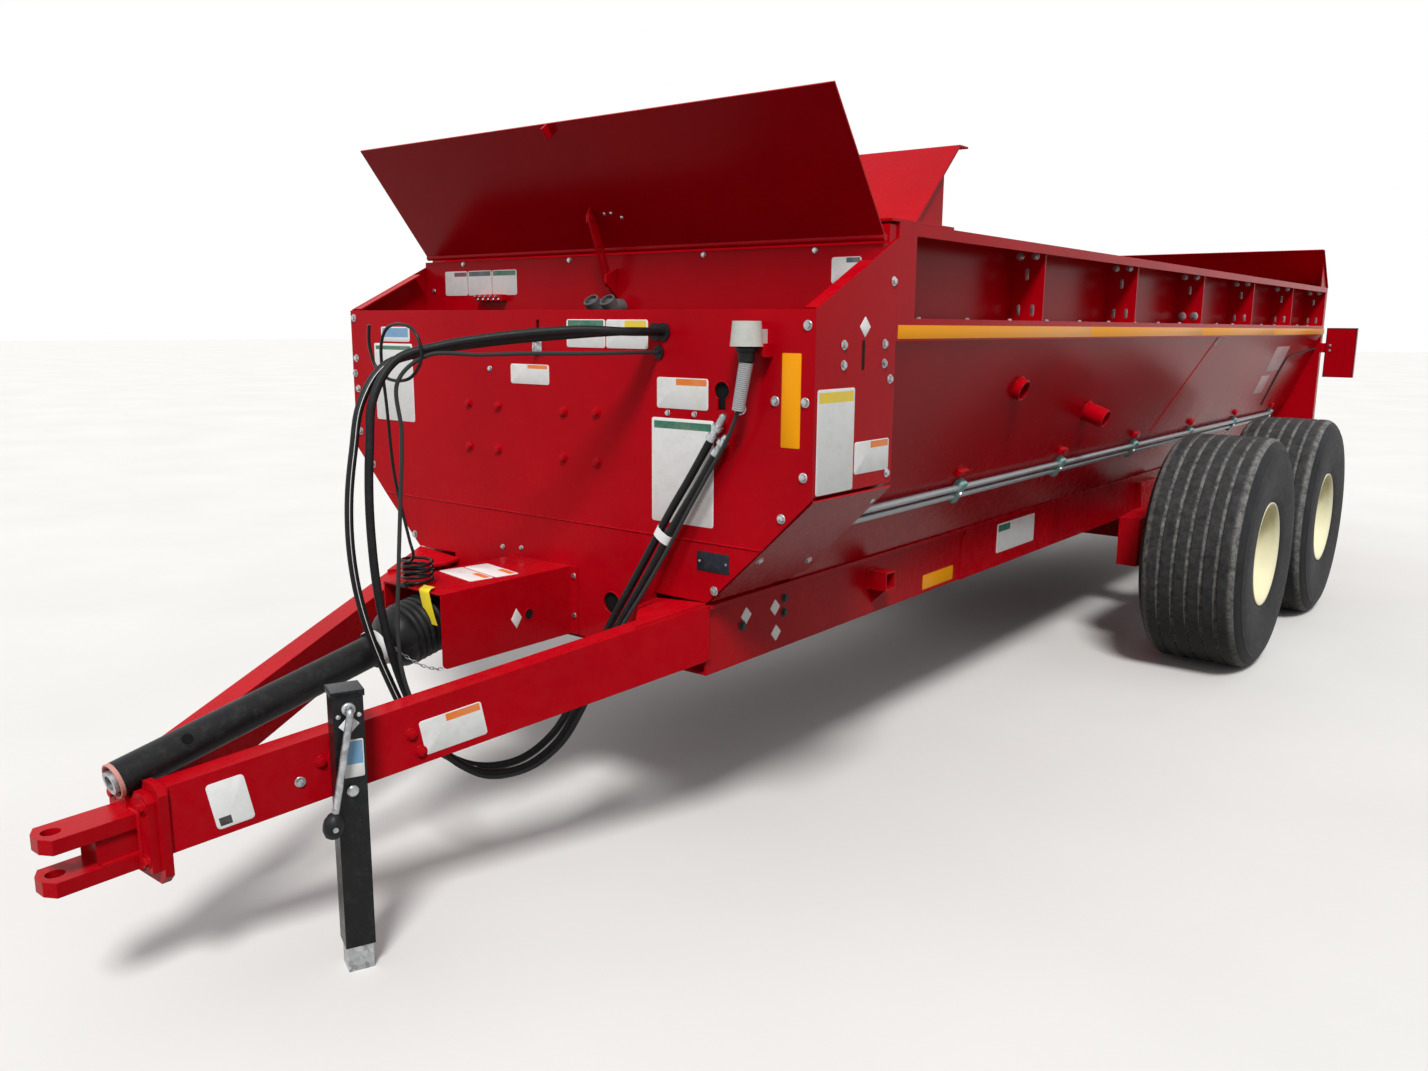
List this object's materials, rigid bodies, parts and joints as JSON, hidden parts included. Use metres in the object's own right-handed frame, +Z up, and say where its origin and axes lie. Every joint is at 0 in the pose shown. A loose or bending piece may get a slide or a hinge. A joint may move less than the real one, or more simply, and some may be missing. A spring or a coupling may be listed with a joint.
{
  "type": "trailed v-tank side discharge manure spreader",
  "caption": "Trailed V-tank manure spreader with side discharge, tandem wheels, drawbar with clevis hitch, drop jack, power shaft and hinged front flap.",
  "frame": {"origin": "middle of the footprint's box on the ground", "axes": "+Z up, -Y forward to the hitch, +X to the machine's left side"},
  "size_m": [2.664, 7.436, 1.9796],
  "materials": {
    "black_paint": "black enamel",
    "black_plastic": "scuffed polyethylene",
    "cable_sheath": "black sheath",
    "grey_plastic": "moulded",
    "hose_rubber": "ribbed hose cover",
    "red_paint": "gloss red enamel",
    "rim_paint": "cream enamel",
    "tyre_rubber": "ribbed rubber",
    "worn_red": "worn red enamel",
    "zinc_steel": "zinc plated"
  },
  "bodies": {
    "chassis": {"frame_rails": "red_paint", "cross_members": "red_paint", "tongue_beams": "red_paint", "hitch_clevis": "red_paint", "front_panel_upper": "red_paint", "front_panel_lower": "red_paint", "side_plates": "red_paint", "lower_covers": "red_paint", "front_wall": "red_paint", "tank_wall_left": "red_paint", "tank_wall_right": "red_paint", "trough": "red_paint", "rear_wall": "red_paint", "side_board_left": "red_paint", "side_board_right": "red_paint", "front_lip": "red_paint", "rear_lip": "red_paint", "pto_hood": "red_paint", "gearbox": "black_paint", "pto_guard": "black_plastic", "discharge_housing": "red_paint", "gate_cylinder": "black_paint", "axle_tube": "red_paint", "walking_beams": "red_paint", "oil_tubes": "zinc_steel", "light_panels": "red_paint", "hose_hanger": "black_paint", "hose_grommets": "black_plastic", "hose_feed": "hose_rubber", "hose_return": "hose_rubber", "cable_lights": "cable_sheath", "coupler_tips": "zinc_steel", "plug_cup": "grey_plastic", "cable_plug": "black_plastic"},
    "flap": {"front_flap": "red_paint"},
    "stay": {"flap_stay": "red_paint"},
    "jack_swivel": {"jack_tube": "black_paint", "jack_crank": "zinc_steel"},
    "jack_foot": {"jack_leg": "zinc_steel"},
    "power_shaft": {"pto_shaft": "zinc_steel"},
    "expeller_rotor": {"expeller": "worn_red"},
    "gate": {"discharge_gate": "red_paint"},
    "left_auger": {"auger_left": "worn_red"},
    "right_auger": {"auger_right": "worn_red"},
    "wheel_left_front": {"rim_left_front": "rim_paint", "tyre_left_front": "tyre_rubber"},
    "wheel_left_rear": {"rim_left_rear": "rim_paint", "tyre_left_rear": "tyre_rubber"},
    "wheel_right_front": {"rim_right_front": "rim_paint", "tyre_right_front": "tyre_rubber"},
    "wheel_right_rear": {"rim_right_rear": "rim_paint", "tyre_right_rear": "tyre_rubber"}
  },
  "joints": [
    {"name": "flap_hinge", "type": "hinge", "parent": "chassis", "child": "flap", "pos_m": [0, -2.012, 1.655], "axis": [1, 0, 0], "range_deg": [0, 80]},
    {"name": "stay_pivot", "type": "hinge", "parent": "flap", "child": "stay", "pos_m": [-0.007, -2.104, 1.736], "axis": [1, 0, 0], "range_deg": [-101, 0]},
    {"name": "jack_swing", "type": "hinge", "parent": "chassis", "child": "jack_swivel", "pos_m": [0.2742, -3.17961, 0.47605], "axis": [0.9222, -0.3868, 0], "range_deg": [0, 90]},
    {"name": "jack_slide", "type": "slide", "parent": "jack_swivel", "child": "jack_foot", "axis": [0, 0, -1], "range_m": [0, 0.35]},
    {"name": "shaft_spin", "type": "hinge", "parent": "chassis", "child": "power_shaft", "pos_m": [-0.012, -2.712, 0.668], "axis": [0, 0.9775, 0.2108], "continuous": true},
    {"name": "expeller_spin", "type": "hinge", "parent": "chassis", "child": "expeller_rotor", "pos_m": [-0.82599, -1.392, 0.76289], "axis": [0, 1, 0], "continuous": true},
    {"name": "gate_slide", "type": "slide", "parent": "chassis", "child": "gate", "axis": [-0.5123, 0, 0.8588], "range_m": [0, 0.2]},
    {"name": "left_auger_spin", "type": "hinge", "parent": "chassis", "child": "left_auger", "pos_m": [0.235, 0.688, 0.79], "axis": [0, 1, 0], "continuous": true},
    {"name": "right_auger_spin", "type": "hinge", "parent": "chassis", "child": "right_auger", "pos_m": [-0.235, 0.688, 0.79], "axis": [0, 1, 0], "continuous": true},
    {"name": "left_front_wheel_spin", "type": "hinge", "parent": "chassis", "child": "wheel_left_front", "pos_m": [1.124, 0.618, 0.494], "axis": [1, 0, 0], "continuous": true},
    {"name": "left_rear_wheel_spin", "type": "hinge", "parent": "chassis", "child": "wheel_left_rear", "pos_m": [1.124, 1.853, 0.494], "axis": [1, 0, 0], "continuous": true},
    {"name": "right_front_wheel_spin", "type": "hinge", "parent": "chassis", "child": "wheel_right_front", "pos_m": [-1.124, 0.618, 0.494], "axis": [1, 0, 0], "continuous": true},
    {"name": "right_rear_wheel_spin", "type": "hinge", "parent": "chassis", "child": "wheel_right_rear", "pos_m": [-1.124, 1.853, 0.494], "axis": [1, 0, 0], "continuous": true}
  ],
  "couplings": [
    {"joint": "stay_pivot", "follows": "flap_hinge", "ratio": -1.259}
  ]
}
